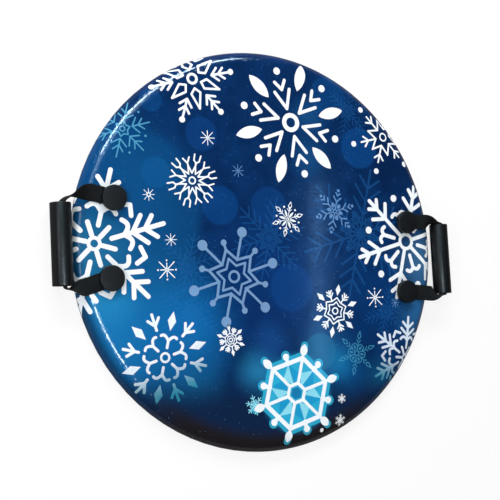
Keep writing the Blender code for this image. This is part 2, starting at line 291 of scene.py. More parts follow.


# %% Lights in the sky, and a painted reflection on the right of the rim
def near(point, none, full, share=1.0):
    """How near a place in the print is to a point: 0 at one distance, share at the other (mm)."""
    away = add_node(ground, "ShaderNodeVectorMath",
                    {0: flat_place, 1: (point[0] * MM, point[1] * MM, 0)}, operation="DISTANCE")
    amount = add_node(ground, "ShaderNodeMapRange",
                      {0: away.outputs["Value"], 1: none * MM, 2: full * MM, 3: 0.0, 4: share},
                      interpolation_type="SMOOTHSTEP")
    return amount.outputs[0]


SOFT_LIGHTS_AND_PAINTED_REFLECTION = [
    # place in mm, radius in mm, colour, share: broad washes of colour
    ((-250, -125), 215, "#1670ad", 1.0), ((-225, 70), 150, "#0c487f", 0.9),
    ((-125, -120), 100, "#106baf", 0.8), ((0, -50), 150, "#0a3573", 0.6),
    ((190, -70), 120, "#053771", 0.6), ((40, 230), 150, "#062855", 0.7),
    ((96, -147), 62, "#13568d", 0.7), ((-15, -184), 50, "#2682b3", 0.75),
    ((132, -184), 60, "#0c5690", 0.7), ((200, -190), 46, "#10567f", 0.6),
    ((-115, -205), 62, "#136496", 0.5), ((2, -138), 46, "#184a8c", 0.6),
    ((225, 170), 130, "#041d42", 0.6), ((-275, -20), 85, "#29789c", 0.8),
    # the two at x 285 mm, on the right of the rim, are partly a soft printed light and partly a
    # painted reflection on the rolled edge
    ((-250, -80), 60, "#2b99ca", 0.4), ((285, -10), 80, "#386792", 1.0),
    ((285, -85), 80, "#27659b", 1.0), ((120, -168), 38, "#1582b7", 0.5),
    ((66, 207), 46, "#174c82", 0.75), ((68, 143), 46, "#174c82", 0.75),
]
ROUND_LIGHTS = [
    # the same for discs with a clear edge
    ((-235, 42), 132, "#0c5287", 0.35), ((-114, 161), 27, "#0e4385", 0.45),
    ((157, 168), 35, "#0b4687", 0.6), ((38, -57), 39, "#0d468e", 0.4),
    ((-82, 58), 31, "#0a4a90", 0.4), ((-183, 98), 24, "#0e5792", 0.5),
    ((-2, 62), 33, "#0d407f", 0.5), ((88, -152), 30, "#20769e", 0.4),
    ((-193, 201), 18, "#0c5090", 0.35), ((100, 245), 34, "#0c4885", 0.4),
]
ROUND_EDGE = 0.84                  # a round light is even up to this share of its radius
for lights, edge in ((SOFT_LIGHTS_AND_PAINTED_REFLECTION, 0.0), (ROUND_LIGHTS, ROUND_EDGE)):
    for point, radius, shade, share in lights:
        amount = near(point, radius, radius * edge, share)
        colour = add_node(ground, "ShaderNodeMix", {0: amount, 6: colour, 7: linear(shade)},
                          data_type="RGBA").outputs[2]
print(len(SOFT_LIGHTS_AND_PAINTED_REFLECTION), "soft lights and", len(ROUND_LIGHTS), "round ones")

# %% Dark edges: the print's dark front, and painted shade on the roll
PRINTED_DARK_AND_PAINTED_SHADE = [
    # colour, share, and what it grows with: along Y, from the middle out, or towards the front
    # the print's own darkness along the front edge
    ("#0d2343", 0.97, (("along", -0.178, -0.242),)),
    # painted shade on the rolled edge, at the sides and front, where it turns away from the lamps
    ("#0a2444", 0.85, (("radius", 0.281, 0.299), ("bearing", 0.3, -0.4))),
    # painted shade, near black, on the front of the rolled edge
    ("#201d21", 1.0, (("radius", 0.262, 0.286), ("bearing", -0.74, -0.92))),
]
measure = {"along": add_node(ground, "ShaderNodeSeparateXYZ", {0: place}).outputs["Y"],
           "radius": add_node(ground, "ShaderNodeVectorMath", {0: flat_place},
                              operation="LENGTH").outputs["Value"]}
measure["bearing"] = add_node(ground, "ShaderNodeMath", {0: measure["along"],
                                                         1: measure["radius"]},
                              operation="DIVIDE").outputs[0]
for shade, share, grows in PRINTED_DARK_AND_PAINTED_SHADE:
    amount = share
    for what, none, full in grows:
        part = add_node(ground, "ShaderNodeMapRange", {0: measure[what], 1: none, 2: full,
                                                       3: 0.0, 4: 1.0},
                        interpolation_type="SMOOTHSTEP").outputs[0]
        amount = add_node(ground, "ShaderNodeMath", {0: part, 1: amount},
                          operation="MULTIPLY").outputs[0]
    colour = add_node(ground, "ShaderNodeMix", {0: amount, 6: colour, 7: linear(shade)},
                      data_type="RGBA").outputs[2]
print(len(PRINTED_DARK_AND_PAINTED_SHADE), "shades towards the edge")

# %% Glow round the crystal
PLATE = (47, -214)                 # middle of the crystal at the front, in mm
GLOW_END, GLOW_FULL = 65, 44       # mm from it where its glow ends and where it is full
amount = near(PLATE, GLOW_END, GLOW_FULL, 0.9)
colour = add_node(ground, "ShaderNodeMix", {0: amount, 6: colour, 7: linear("#1a7fb4")},
                  data_type="RGBA").outputs[2]
print("the crystal glows", GLOW_END, "mm around its middle")

# %% Snow dust
# One pale dot in most cells of a Voronoi texture, where the cloud is light enough to show it.
DUST_CELL = 5 * MM
dust = add_node(ground, "ShaderNodeTexVoronoi", {"Vector": flat_place, "Scale": 1 / DUST_CELL})
speck = add_node(ground, "ShaderNodeMapRange", {0: dust.outputs["Distance"], 1: 0.11, 2: 0.05,
                                                3: 0.0, 4: 0.75})
shows = add_node(ground, "ShaderNodeMapRange", {0: cloud.outputs["Fac"], 1: 0.42, 2: 0.56,
                                                3: 0.0, 4: 1.0})
amount = add_node(ground, "ShaderNodeMath", {0: speck.outputs[0], 1: shows.outputs[0]},
                  operation="MULTIPLY").outputs[0]
colour = add_node(ground, "ShaderNodeMix", {0: amount, 6: colour, 7: linear("#5fa3d0")},
                  data_type="RGBA").outputs[2]
print("snow dust in cells of", round(DUST_CELL / MM), "mm")

# %% Fade, dents and stretch
# Some snowflakes fade out towards a point far in front of the sled.
FADE_MIDDLE = (50, -743)           # that point, in mm, and
FADE_FROM, FADE_TO = 640, 560      # the distances from it where fading starts and ends
fade = near(FADE_MIDDLE, FADE_FROM, FADE_TO)
# The bolts pull the film down a little, so it dips around each cap.
CAP_PLACE = (244.8, 55.7)          # middle of a cap from the middle of the sled, in mm
DENT_EDGE, DENT_END = 17, 30       # mm from there: the dip is full at one, gone at the other
level = 1.0
for x, y in ((-1, -1), (-1, 1), (1, -1), (1, 1)):
    clear = near((x * CAP_PLACE[0], y * CAP_PLACE[1]), DENT_EDGE, DENT_END)
    level = add_node(ground, "ShaderNodeMath", {0: clear, 1: level},
                     operation="MULTIPLY").outputs[0]
# Over the edge of the foam the film is stretched, and shows more of the foam's cells.
STRETCH_FROM, STRETCH_TO = 262 * MM, 280 * MM
stretch = add_node(ground, "ShaderNodeMapRange", {0: measure["radius"], 1: STRETCH_FROM,
                                                  2: STRETCH_TO, 3: 0.25, 4: 1.0})
add_node(ground, "NodeGroupOutput", {"Color": colour, "Fade": fade, "Dent": level,
                                     "Stretch": stretch.outputs[0]})
print("print ground:", len(ground.nodes), "nodes")

# %% [markdown]
# ## Gloss laminate
#
# A laminate is smooth but never flat: it takes on the cells of the foam under it, so its gloss
# breaks into fine sparkle along each highlight, most of all where it is stretched over the edge.
# Two noises do that as bump: one of about 3 mm, like orange peel, over groups of cells, and one
# of 14 mm for the slow waves of the foam.  Every ink is under the same laminate, so one function
# finishes the ground and the inks alike.  An ink covers only a share of the ground, and one that
# fades loses cover and turns to the blue of the ground's lights.

# %% Film and ink materials
PEEL_SIZE, WAVE_SIZE = 3.0 * MM, 14 * MM
FADED_COVER = 0.42                 # what an ink keeps of its cover where it has faded out
FADED_INK = "#3cb2c8"              # and the colour that it has turned to there


def laminate(name, ink=None, cover=1.0, fades=False):
    """Gloss laminate over the ground, or over an ink that covers it by that share."""
    material, tree, shader = new_material(name)
    under = add_node(tree, "ShaderNodeGroup", node_tree=ground)
    colour = under.outputs["Color"]
    place = add_node(tree, "ShaderNodeTexCoord").outputs["Object"]
    peel = add_node(tree, "ShaderNodeTexNoise", {"Vector": place, "Scale": 1 / PEEL_SIZE,
                                                 "Detail": 1.0})
    waves = add_node(tree, "ShaderNodeTexNoise", {"Vector": place, "Scale": 1 / WAVE_SIZE,
                                                  "Detail": 1.0})
    if ink:
        keep = add_node(tree, "ShaderNodeMapRange", {0: under.outputs["Fade"], 1: 0.0, 2: 1.0,
                                                     3: cover,
                                                     4: cover * (FADED_COVER if fades else 1.0)})
        patchy = add_node(tree, "ShaderNodeMapRange", {0: waves.outputs["Fac"], 1: 0.3, 2: 0.7,
                                                       3: 0.94, 4: 1.0})
        share = add_node(tree, "ShaderNodeMath", {0: keep.outputs[0], 1: patchy.outputs[0]},
                         operation="MULTIPLY")
        turns = add_node(tree, "ShaderNodeMapRange", {0: under.outputs["Fade"], 1: 0.45, 2: 1.0,
                                                      3: 0.0, 4: 1.0 if fades else 0.0})
        shade = add_node(tree, "ShaderNodeMix", {0: turns.outputs[0], 6: linear(ink),
                                                 7: linear(FADED_INK)}, data_type="RGBA")
        colour = add_node(tree, "ShaderNodeMix", {0: share.outputs[0], 6: colour,
                                                  7: shade.outputs[2]},
                          data_type="RGBA").outputs[2]
    tree.links.new(colour, shader.inputs["Base Color"])
    gloss = add_node(tree, "ShaderNodeMapRange", {0: waves.outputs["Fac"], 1: 0.3, 2: 0.7,
                                                  3: 0.06, 4: 0.10})
    tree.links.new(gloss.outputs[0], shader.inputs["Roughness"])
    dip = add_node(tree, "ShaderNodeBump", {"Strength": 1.0, "Distance": 1.4 * MM,
                                            "Height": under.outputs["Dent"]})
    slow = add_node(tree, "ShaderNodeBump", {"Strength": 0.12, "Distance": 0.3 * MM,
                                             "Height": waves.outputs["Fac"],
                                             "Normal": dip.outputs[0]})
    pits = add_node(tree, "ShaderNodeMapRange", {0: peel.outputs["Fac"], 1: 0.54, 2: 0.80,
                                                 3: 0.0, 4: 1.0})
    fine = add_node(tree, "ShaderNodeBump", {"Strength": under.outputs["Stretch"],
                                             "Distance": 0.14 * MM,
                                             "Height": pits.outputs[0],
                                             "Normal": slow.outputs[0]})
    tree.links.new(fine.outputs[0], shader.inputs["Normal"])
    shader.inputs["IOR"].default_value = 1.45
    return material


FILM = laminate("gloss_laminate_over_night_sky")
INKS = {
    "white": laminate("white_ink", "#f6fcff", 0.99),
    "fading_white": laminate("fading_white_ink", "#eef8fd", 0.98, fades=True),
    "ice": laminate("ice_white_ink", "#e2f0fc", 0.92, fades=True),
    "pale": laminate("pale_blue_ink", "#86aed8", 0.72),
    "hazy": laminate("hazy_blue_ink", "#78ace6", 0.62),
    "teal": laminate("teal_ink", "#5cb2d6", 0.66),
    "dim_teal": laminate("dim_teal_ink", "#4aa6cc", 0.55),
    "far": laminate("distant_blue_ink", "#2470bc", 0.22),
    "halo": laminate("glowing_cyan_ink", "#35c6ea", 0.60),
    "cyan": laminate("cyan_ink", "#1f9cd0", 0.96),
    "light_cyan": laminate("light_cyan_ink", "#8fe0f2", 0.97),
}
print("inks:", ", ".join(INKS))

# %% [markdown]
# ## The film
#
# The film lies flat on the foam and rolls down over its edge as a quarter of an ellipse.  It is
# turned like a bowl from that profile.  The same profile, measured along its length, also says
# where a printed mark that runs over the edge ends up, so the marks wrap round the rim with the
# film instead of being cut off there.

# %% Shape of the film
film_low, film_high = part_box("printed_film")
RIM, TOP, FOOT = film_high.x, film_high.z, film_low.z
ROLL = 26 * MM                     # how far in from the rim the film starts to roll over
FILM_THICKNESS = 0.5 * MM
FLAT = RIM - ROLL
ROUND_STEPS = 288
ROLL_STEPS = 22

# Each row: radius, height, distance travelled over the film, and the film's outward tilt.
profile = []
travelled = FLAT
for i in range(ROLL_STEPS + 1):
    a = math.pi / 2 * i / ROLL_STEPS
    radius = FLAT + ROLL * math.sin(a)
    height = FOOT + (TOP - FOOT) * math.cos(a)
    if profile:
        travelled += math.hypot(radius - profile[-1][0], height - profile[-1][1])
    tilt = math.atan2((TOP - FOOT) * math.sin(a), ROLL * math.cos(a))
    profile.append((radius, height, travelled, tilt))
print("film:", round(RIM / MM, 1), "mm radius, and", round((travelled - FLAT) / MM, 1),
      "mm of it go over the edge")


def on_film(x, y, lift=0.0):
    """Where a flat point of the print lies on the film, raised by lift, and the film's normal."""
    reach = math.hypot(x, y)
    if reach <= FLAT:
        return Vector((x, y, TOP + lift)), Vector(UP)
    k = 0
    while k < ROLL_STEPS - 1 and profile[k + 1][2] < reach:
        k += 1
    (r0, h0, s0, t0), (r1, h1, s1, t1) = profile[k], profile[k + 1]
    share = min((reach - s0) / (s1 - s0), 1.0)
    radius, height = r0 + (r1 - r0) * share, h0 + (h1 - h0) * share
    tilt = t0 + (t1 - t0) * share
    outward = Vector((x / reach, y / reach, 0))
    normal = outward * math.sin(tilt) + UP * math.cos(tilt)
    return outward * radius + UP * height + normal * lift, normal


# %% [markdown]
# ## Turning the film
#
# The film is turned from its profile, like a bowl on a wheel, and closed underneath by the same
# profile half a millimetre further in.  It also gets a flat map of itself, in which the printed
# face keeps its true shape, so that its finish can be baked to a picture without being squeezed
# at the rim.


# %% Turn the film
def new_piece(name, shape, material, body):
    """Turn a bmesh into a piece of the sled that rides on a body of the model."""
    mesh = bpy.data.meshes.new(name)
    shape.to_mesh(mesh)
    shape.free()
    mesh.materials.append(material)
    piece = bpy.data.objects.new(name, mesh)
    bpy.context.scene.collection.objects.link(piece)
    mesh.shade_smooth()
    if body:
        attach(piece, body)
    return piece


INNER_RINGS = (90 * MM, 180 * MM)  # two rings in the flat middle keep its faces from being slivers
BAKE_REACH = profile[-1][2] * 1.01
shape = bmesh.new()
bake = shape.loops.layers.uv.new("OFBake")
outline = [(r, TOP, r) for r in INNER_RINGS] + [row[:3] for row in profile]
inside = [(r - FILM_THICKNESS * math.sin(t), h - FILM_THICKNESS * math.cos(t), s)
          for r, h, s, t in reversed(profile)]
inside[0] = (profile[-1][0] - FILM_THICKNESS, FOOT, profile[-1][2])
rings = []
for radius, height, _reach in outline + inside:
    rings.append([shape.verts.new((radius * math.cos(math.tau * j / ROUND_STEPS),
                                   radius * math.sin(math.tau * j / ROUND_STEPS), height))
                  for j in range(ROUND_STEPS)])
middle_top = shape.verts.new((0, 0, TOP))
middle_low = shape.verts.new((0, 0, TOP - FILM_THICKNESS))
for j in range(ROUND_STEPS):
    k = (j + 1) % ROUND_STEPS
    shape.faces.new((middle_top, rings[0][j], rings[0][k]))
    shape.faces.new((middle_low, rings[-1][k], rings[-1][j]))
    for one, two in zip(rings, rings[1:]):
        shape.faces.new((one[j], two[j], two[k], one[k]))
# The printed face is laid out flat for baking; the hidden inner face goes small into a corner.
reach_of = {}
for ring, (_radius, _height, reach) in zip(rings, outline + inside):
    for vert in ring:
        reach_of[vert] = reach
outer_rings = set(vert for ring in rings[:len(outline)] for vert in ring) | {middle_top}
for face in shape.faces:
    shown = all(vert in outer_rings for vert in face.verts)
    for loop in face.loops:
        flat = Vector((loop.vert.co.x, loop.vert.co.y))
        if flat.length > 0:
            flat *= reach_of[loop.vert] / flat.length
        flat *= 0.5 / BAKE_REACH
        loop[bake].uv = flat + Vector((0.5, 0.5)) if shown else flat * 0.1 + Vector((0.06, 0.06))
film = new_piece("film", shape, FILM, "deck")
film.data.set_sharp_from_angle(angle=math.radians(40))
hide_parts("printed_film")
print("film faces:", len(film.data.polygons))

# %% [markdown]
# ## Printed marks
#
# Snowflakes are a common winter ornament, and all of these are drawn from a few plain marks:
# strokes with round ends, dots, rings, lozenges and leaves, repeated six times round a middle.
# Each mark is a flat polygon in millimetres.  Blender's 2D triangulation merges the overlapping
# marks of one snowflake into one outline, and cuts it along rings where the film bends, so that
# it can follow the film.  A texture would need a picture file, and would blur when zoomed in.

# %% Marks
# How many straight steps draw each curved part of a mark.
END_STEPS, DOT_STEPS, RING_STEPS, LEAF_STEPS, CURL_STEPS = 9, 20, 28, 12, 8


def stroke(start, end, width):
    """A line with round ends."""
    (x0, y0), (x1, y1) = start, end
    heading = math.atan2(y1 - y0, x1 - x0)
    points = []
    for (x, y), first in ((end, -math.pi / 2), (start, math.pi / 2)):
        for i in range(END_STEPS + 1):
            a = heading + first + math.pi * i / END_STEPS
            points.append((x + width / 2 * math.cos(a), y + width / 2 * math.sin(a)))
    return [points]


def path(points, width, closed=False):
    """Strokes from point to point."""
    ends = points[1:] + points[:1] if closed else points[1:]
    return [mark for one, two in zip(points, ends) for mark in stroke(one, two, width)]


def both_sides(points, width):
    """A path and its mirror image across the arm."""
    return path(points, width) + path([(x, -y) for x, y in points], width)


def around(radius, i, steps):
    """The point after i of the steps round a circle."""
    return (radius * math.cos(math.tau * i / steps), radius * math.sin(math.tau * i / steps))


def dot(x, radius):
    """A round dot on the arm."""
    points = [around(radius, i, DOT_STEPS) for i in range(DOT_STEPS)]
    return [[(x + along, across) for along, across in points]]


def ring(outer, inner):
    """A ring round the middle, in short straight pieces."""
    return [[around(outer, i, RING_STEPS), around(outer, i + 1, RING_STEPS),
             around(inner, i + 1, RING_STEPS), around(inner, i, RING_STEPS)]
            for i in range(RING_STEPS)]


def star(tip, notch, first, width, points=6):
    """A zigzag outline with its tips at one radius and its notches at another."""
    corners = []
    for i in range(2 * points):
        a = math.radians(first) + math.pi * i / points
        reach = notch if i % 2 else tip
        corners.append((reach * math.cos(a), reach * math.sin(a)))
    return path(corners, width, closed=True)


def leaf(start, end, half):
    """A filled shape with two pointed ends."""
    side = [(start + (end - start) * i / LEAF_STEPS,
             half * math.sin(math.pi * i / LEAF_STEPS) ** 0.75) for i in range(LEAF_STEPS + 1)]
    return [[(x, -y) for x, y in side] + [(x, y) for x, y in reversed(side[1:-1])]]


def lozenge(start, end, half):
    """A filled shape with four straight sides."""
    middle = (start + end) / 2
    return [[(start, 0), (middle, -half), (end, 0), (middle, half)]]


print("a stroke has", len(stroke((0, 0), (1, 0), 1)[0]), "points, a dot has", DOT_STEPS)


# %% Arms and whole snowflakes
def arm(width, stem=None, vees=(), dots=(), leaves=(), lozenges=(), curls=(), loops=()):
    """One arm along +X: every mark that a snowflake here is made of, in mm."""
    marks = []
    if stem:
        marks += stroke((stem[0], 0), (stem[1], 0), width)
    for apex, tip, half in vees:
        marks += both_sides([(apex, 0), (tip, half)], width)
    for x, radius in dots:
        marks += dot(x, radius)
    for start, end, half in leaves:
        marks += leaf(start, end, half)
    for start, end, half in lozenges:
        marks += lozenge(start, end, half)
    for x, out, half, bend in curls:
        marks += both_sides([(x + out * math.sin(bend * math.pi * i / CURL_STEPS),
                              half * i / CURL_STEPS) for i in range(CURL_STEPS + 1)], width)
    for corners in loops:
        marks += path(corners + [(x, -y) for x, y in reversed(corners) if y > 0], width,
                      closed=True)
    return marks


def turned(marks, degrees):
    """The marks turned round the middle."""
    c, s = math.cos(math.radians(degrees)), math.sin(math.radians(degrees))
    return [[(x * c - y * s, x * s + y * c) for x, y in mark] for mark in marks]


def snowflake(middle_marks, arms, times=6):
    """Repeat each (offset in degrees, arm marks) round the middle."""
    marks = list(middle_marks)
    for offset, arm_marks in arms:
        for i in range(times):
            marks += turned(arm_marks, offset + 360 / times * i)
    return marks


print("six plain arms make", len(snowflake([], [(0, arm(1, stem=(0, 10)))])), "strokes")

# %% [markdown]
# ## Ink on the film
#
# Each motif becomes one thin layer that stands a little over the film and sinks a little into
# it, so that the two never lie in the same place, which would flicker in the render.  Its marks
# are merged flat, in millimetres, and every corner of every triangle is then moved to where it
# lies on the film.  The layer is shaded with the film's own normals, so highlights run across it
# as if it were printed.

# %% Merge marks into triangles
CUT_MARGIN = 2                     # mm round a motif that the cuts along the rim cover too
SAME_POINT = 1e-4                  # points closer than this, in mm, become one
LEAST_AREA = 1e-7                  # twice the area of the least triangle kept, in square mm
PRINT_LIMIT = profile[-1][2] / MM - 0.6    # nothing is printed past this reach, in mm


def rim_cuts(middle, reach, number):
    """The rings where the film bends, near a motif: points numbered from number, and edges."""
    points, edges = [], []
    for _radius, _height, travelled, _tilt in profile:
        previous = None
        for j in range(ROUND_STEPS + 1):
            point = Vector(around(1, j, ROUND_STEPS)) * travelled / MM
            if (point - middle).length < reach:
                points.append(point)
                latest = number + len(points) - 1
                if previous is not None:
                    edges.append((previous, latest))
                previous = latest
            else:
                previous = None
    return points, edges


def merged(placed, middle):
    """Overlapping flat marks as one net of triangles: its points, and its faces, all facing up."""
    points, faces, edges = [], [], []
    for mark in placed:
        faces.append(list(range(len(points), len(points) + len(mark))))
        points += mark
    reach = max((point - middle).length for point in points) + CUT_MARGIN
    if middle.length + reach > FLAT / MM:
        cuts, edges = rim_cuts(middle, reach, len(points))
        points += cuts
    flat, _edges, cells, _v, _e, inside = delaunay_2d_cdt(points, edges, faces, 0, SAME_POINT,
                                                          True)
    triangles = []
    for cell, sources in zip(cells, inside):
        a, b, c = (flat[i] for i in cell[:3])
        if sources and ((a + b + c) / 3).length < PRINT_LIMIT:
            area = (b - a).cross(c - a)
            if abs(area) > LEAST_AREA:
                triangles.append(cell if area > 0 else tuple(reversed(cell)))
    return flat, triangles


print("nothing is printed past", round(PRINT_LIMIT, 1), "mm over the film")

# %% Lay marks on the film
INK_RAISE = 0.06 * MM              # ink and laminate stand this much over the ground
INK_SINK = 0.05 * MM               # and reach this much into the film


def ink_layer(name, flat, triangles, raise_by):
    """Wrap flat triangles over the film, as a thin closed layer with the film's own shading."""
    mesh_points, normals, number = [], [], {}
    for cell in triangles:
        for i in cell:
            if i not in number:
                number[i] = len(normals)
                x, y = flat[i] * MM
                top, normal = on_film(x, y, raise_by)
                mesh_points += [top, top - normal * (raise_by + INK_SINK)]
                normals.append(normal)
    mesh_faces, loop_normals = [], []
    for cell in triangles:
        a, b, c = (number[i] for i in cell)
        mesh_faces += [(2 * a, 2 * b, 2 * c), (2 * c + 1, 2 * b + 1, 2 * a + 1)]
        loop_normals += [normals[a], normals[b], normals[c],
                         -normals[c], -normals[b], -normals[a]]
    # An edge that only one triangle has is on the outline, and gets a wall.
    directed = {(cell[i], cell[(i + 1) % 3]) for cell in triangles for i in range(3)}
    for i, j in sorted(directed):
        if (j, i) not in directed:
            a, b = number[i], number[j]
            mesh_faces.append((2 * a, 2 * a + 1, 2 * b + 1, 2 * b))
            side = (mesh_points[2 * b] - mesh_points[2 * a]).cross(normals[a]).normalized()
            loop_normals += [side] * 4
    mesh = bpy.data.meshes.new(name)
    mesh.from_pydata(mesh_points, [], mesh_faces)
    bake_map = mesh.uv_layers.new(name="OFBake")
    low = Vector((min(p.x for p in mesh_points), min(p.y for p in mesh_points)))
    high = Vector((max(p.x for p in mesh_points), max(p.y for p in mesh_points)))
    size = max(high - low)
    for loop in mesh.loops:
        corner = mesh.vertices[loop.vertex_index].co
        bake_map.data[loop.index].uv = ((corner.x - low.x) / size, (corner.y - low.y) / size)
    mesh.shade_smooth()
    mesh.normals_split_custom_set(loop_normals)
    return mesh


def lay_on_film(name, marks, centre, degrees, ink, raise_by=INK_RAISE):
    """Turn marks given in mm, put them at a place on the film and print them in an ink."""
    placed = [[Vector((x + centre[0], y + centre[1])) for x, y in mark]
              for mark in turned(marks, degrees)]
    flat, triangles = merged(placed, Vector(centre))
    mesh = ink_layer(name, flat, triangles, raise_by)
    mesh.materials.append(INKS[ink])
    piece = bpy.data.objects.new(name, mesh)
    bpy.context.scene.collection.objects.link(piece)
    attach(piece, "deck")
    return len(triangles)


print("ink stands", round(INK_RAISE / MM, 2), "mm over the film")

# %% [markdown]
# ## Snowflakes
#
# Each kind of snowflake is one call: its middle, then its arms with their offset in degrees.
# All sizes are millimetres on the real sled, measured from the middle of the snowflake.  Then
# comes where each one lies on the disc.  They all lean by nearly the same 19 degrees, because
# the printed sheet was turned a little when the disc was cut from it.

# %% Large snowflakes
petal_flake = snowflake(ring(14.9, 7.6), [
    (0, arm(5.2, leaves=[(51.5, 96.5, 9.0)])),
    (30, arm(5.2, vees=[(22, 50, 13), (52, 65, 8.8)], dots=[(81, 5.7)]))])

kite_flake = snowflake(ring(9.0, 4.8), [
    (0, arm(3.6, stem=(32, 60), vees=[(32, 42, 9.5), (43, 52, 8)], dots=[(64, 4.6)])),
    (30, arm(3.4, loops=[[(14.5, 0), (22, 7.4), (45, 0)]]))])

anchor_flake = snowflake(ring(10.6, 5.4), [
    (0, arm(6.8, stem=(26, 106), vees=[(58, 76, 20), (77, 92, 15.5)], curls=[(45, 9, 21, 0.9)])),
    (-30, arm(6.8, stem=(12, 31), vees=[(76, 66, 11.5)]))])

double_star_flake = snowflake(
    ring(9.6, 6.0) + star(27.5, 16.5, -30, 3.4) + star(41, 25.5, -30, 4.0), [
        (0, arm(3.8, stem=(25, 66), dots=[(67, 7.8)])),
        (-30, arm(3.8, stem=(41, 52), dots=[(52, 4.7)]))])

curl_flake = snowflake(ring(7.8, 4.4), [
    (0, arm(4.2, stem=(14, 25), curls=[(24, 6.5, 12, 0.72)], lozenges=[(38, 66, 6.4)])),
    (-30, arm(4.2, stem=(40, 63), vees=[(46, 56, 8.5)]))])

spoke_flake = snowflake(ring(14.2, 8.6), [
    (0, arm(6.2, stem=(14, 92), vees=[(52, 68, 17.7), (73, 84, 10.5)])),
    (30, arm(6.2, stem=(23, 44), curls=[(43, 4.5, 12.5, 0.9)], dots=[(72, 5.6)]))])

print("the petal snowflake has", len(petal_flake), "marks, the spoke one", len(spoke_flake))

# %% Middle-sized snowflakes
hub_star_flake = snowflake(ring(4.6, 2.8) + star(11.5, 7.5, 0, 2.0), [
    (0, arm(2.0, stem=(15, 42), vees=[(15, 23.5, 11), (24, 32, 7.5)])),
    (30, arm(2.0, dots=[(35, 1.7)]))])

fork_flake = snowflake(ring(6.4, 3.8) + star(24, 11.5, 0, 2.5, points=12), [
    (0, both_sides([(24, 0), (28.5, 0.6), (31.5, 4.4), (41, 5.2)], 2.5)),
    (30, arm(2.5, stem=(24, 27.5), vees=[(27.5, 36, 5.4)]))])

leafy_flake = snowflake(ring(3.6, 2.0), [
    (0, arm(2.0, stem=(3.6, 15.4), vees=[(15.4, 23, 6.6), (25.3, 29.3, 3.8)],
            dots=[(33.3, 2.4)])),
    (30, arm(2.0, leaves=[(6, 14.5, 3.0)]))])

crown_flake = snowflake(ring(5.8, 3.6) + star(14, 10, 0, 2.0) + star(20.5, 15.5, 0, 2.2), [
    (0, arm(2.0, lozenges=[(23.7, 41.7, 4.4)])),
    (30, arm(2.2, stem=(16, 32), vees=[(21.5, 27, 5.4), (26.5, 31.5, 4.4)]))])

outlined_star_flake = snowflake(ring(7.4, 4.8) + star(29.5, 14.5, -30, 3.0), [
    (0, arm(3.0, stem=(14.5, 43), vees=[(29.5, 37.5, 8)], dots=[(58, 4.6)]))])

print("the crown snowflake has", len(crown_flake), "marks")

# %% Small and distant snowflakes
leaf_star_flake = snowflake(ring(2.6, 1.2), [
    (0, arm(1.1, stem=(4, 17), vees=[(12, 15.5, 3.6), (17, 19.5, 1.5)],
            loops=[[(14.8, 0), (20.5, 2.9), (27, 0)]])),
    (30, arm(1.1, leaves=[(3, 14.8, 1.7)], dots=[(19.3, 1.6)]))])

lace_flake = snowflake(ring(4.6, 2.8), [
    (0, arm(1.5, stem=(5, 15), curls=[(9.5, 5, 7.5, 0.8)], vees=[(16.5, 20.5, 3.4)],
            loops=[[(22, 0), (26, 3.0), (34, 0)]])),
    (30, arm(1.5, leaves=[(6, 13, 1.7)]))])

small_crown_flake = snowflake(
    ring(3.6, 1.9) + star(6.6, 5.6, 30, 1.3) + star(10, 8.6, 0, 1.4), [
        (0, arm(1.5, stem=(9.5, 14), lozenges=[(12.5, 23.8, 2.7)])),
        (30, arm(1.7, stem=(9, 17.5), vees=[(10.5, 14.5, 3.4), (13.8, 17, 2.8)]))])

fir_flake = snowflake([], [
    (0, arm(5.4, stem=(4, 56), vees=[(18, 28, 12), (34, 46, 13)])),
    (30, arm(5.0, stem=(4, 20)))])

distant_flake = snowflake([], [
    (0, arm(3.4, stem=(0, 100), vees=[(14, 30, 15), (30, 52, 21), (50, 72, 22), (70, 87, 17)])),
    (30, arm(3.0, stem=(0, 34), vees=[(14, 24, 8)]))])

print("the lace snowflake has", len(lace_flake), "marks")


# %% Stars of rays
def ray_star(reach, width=1.1, open_middle=False, dotted=False):
    """A tiny star of eight rays; the upright ones may end in a dot."""
    inner = reach * (0.3 if open_middle else 0.1)
    upright = (arm(width, stem=(inner, reach * 0.6), dots=[(reach * 0.85, width * 0.9)])
               if dotted else arm(width, stem=(inner, reach * 0.9)))
    middle = ring(reach * 0.34, reach * 0.18) if open_middle else []
    return snowflake(middle, [(0, upright), (45, arm(width, stem=(inner, reach)))], times=4)


print("a star of rays has", len(ray_star(10)), "marks")

# %% A plate crystal
# A thick frame, each field cut into a light and a dark facet, and a soft halo around it all.
half_facet = [[(12, 0), (44, 0), (27, 14.2)]]
plate_facets = snowflake([], [(30, [[(x, -y) for x, y in reversed(half_facet[0])]])])
plate_lights = snowflake([], [(30, half_facet)])
plate_frame = snowflake(
    star(53, 45.9, 0, 6.6) + star(15, 13.0, 0, 5.0), [
        (0, arm(5.0, stem=(15, 53), leaves=[(55, 74, 6.2)])),
        (30, arm(6.2, stem=(45, 56), dots=[(56, 5.2)]))])
plate_halo = snowflake(
    star(55, 47.6, 0, 15) + star(30, 26, 0, 36), [
        (0, arm(12, stem=(50, 72))), (30, arm(15, stem=(45, 58)))])

print("the crystal's frame has", len(plate_frame), "marks")

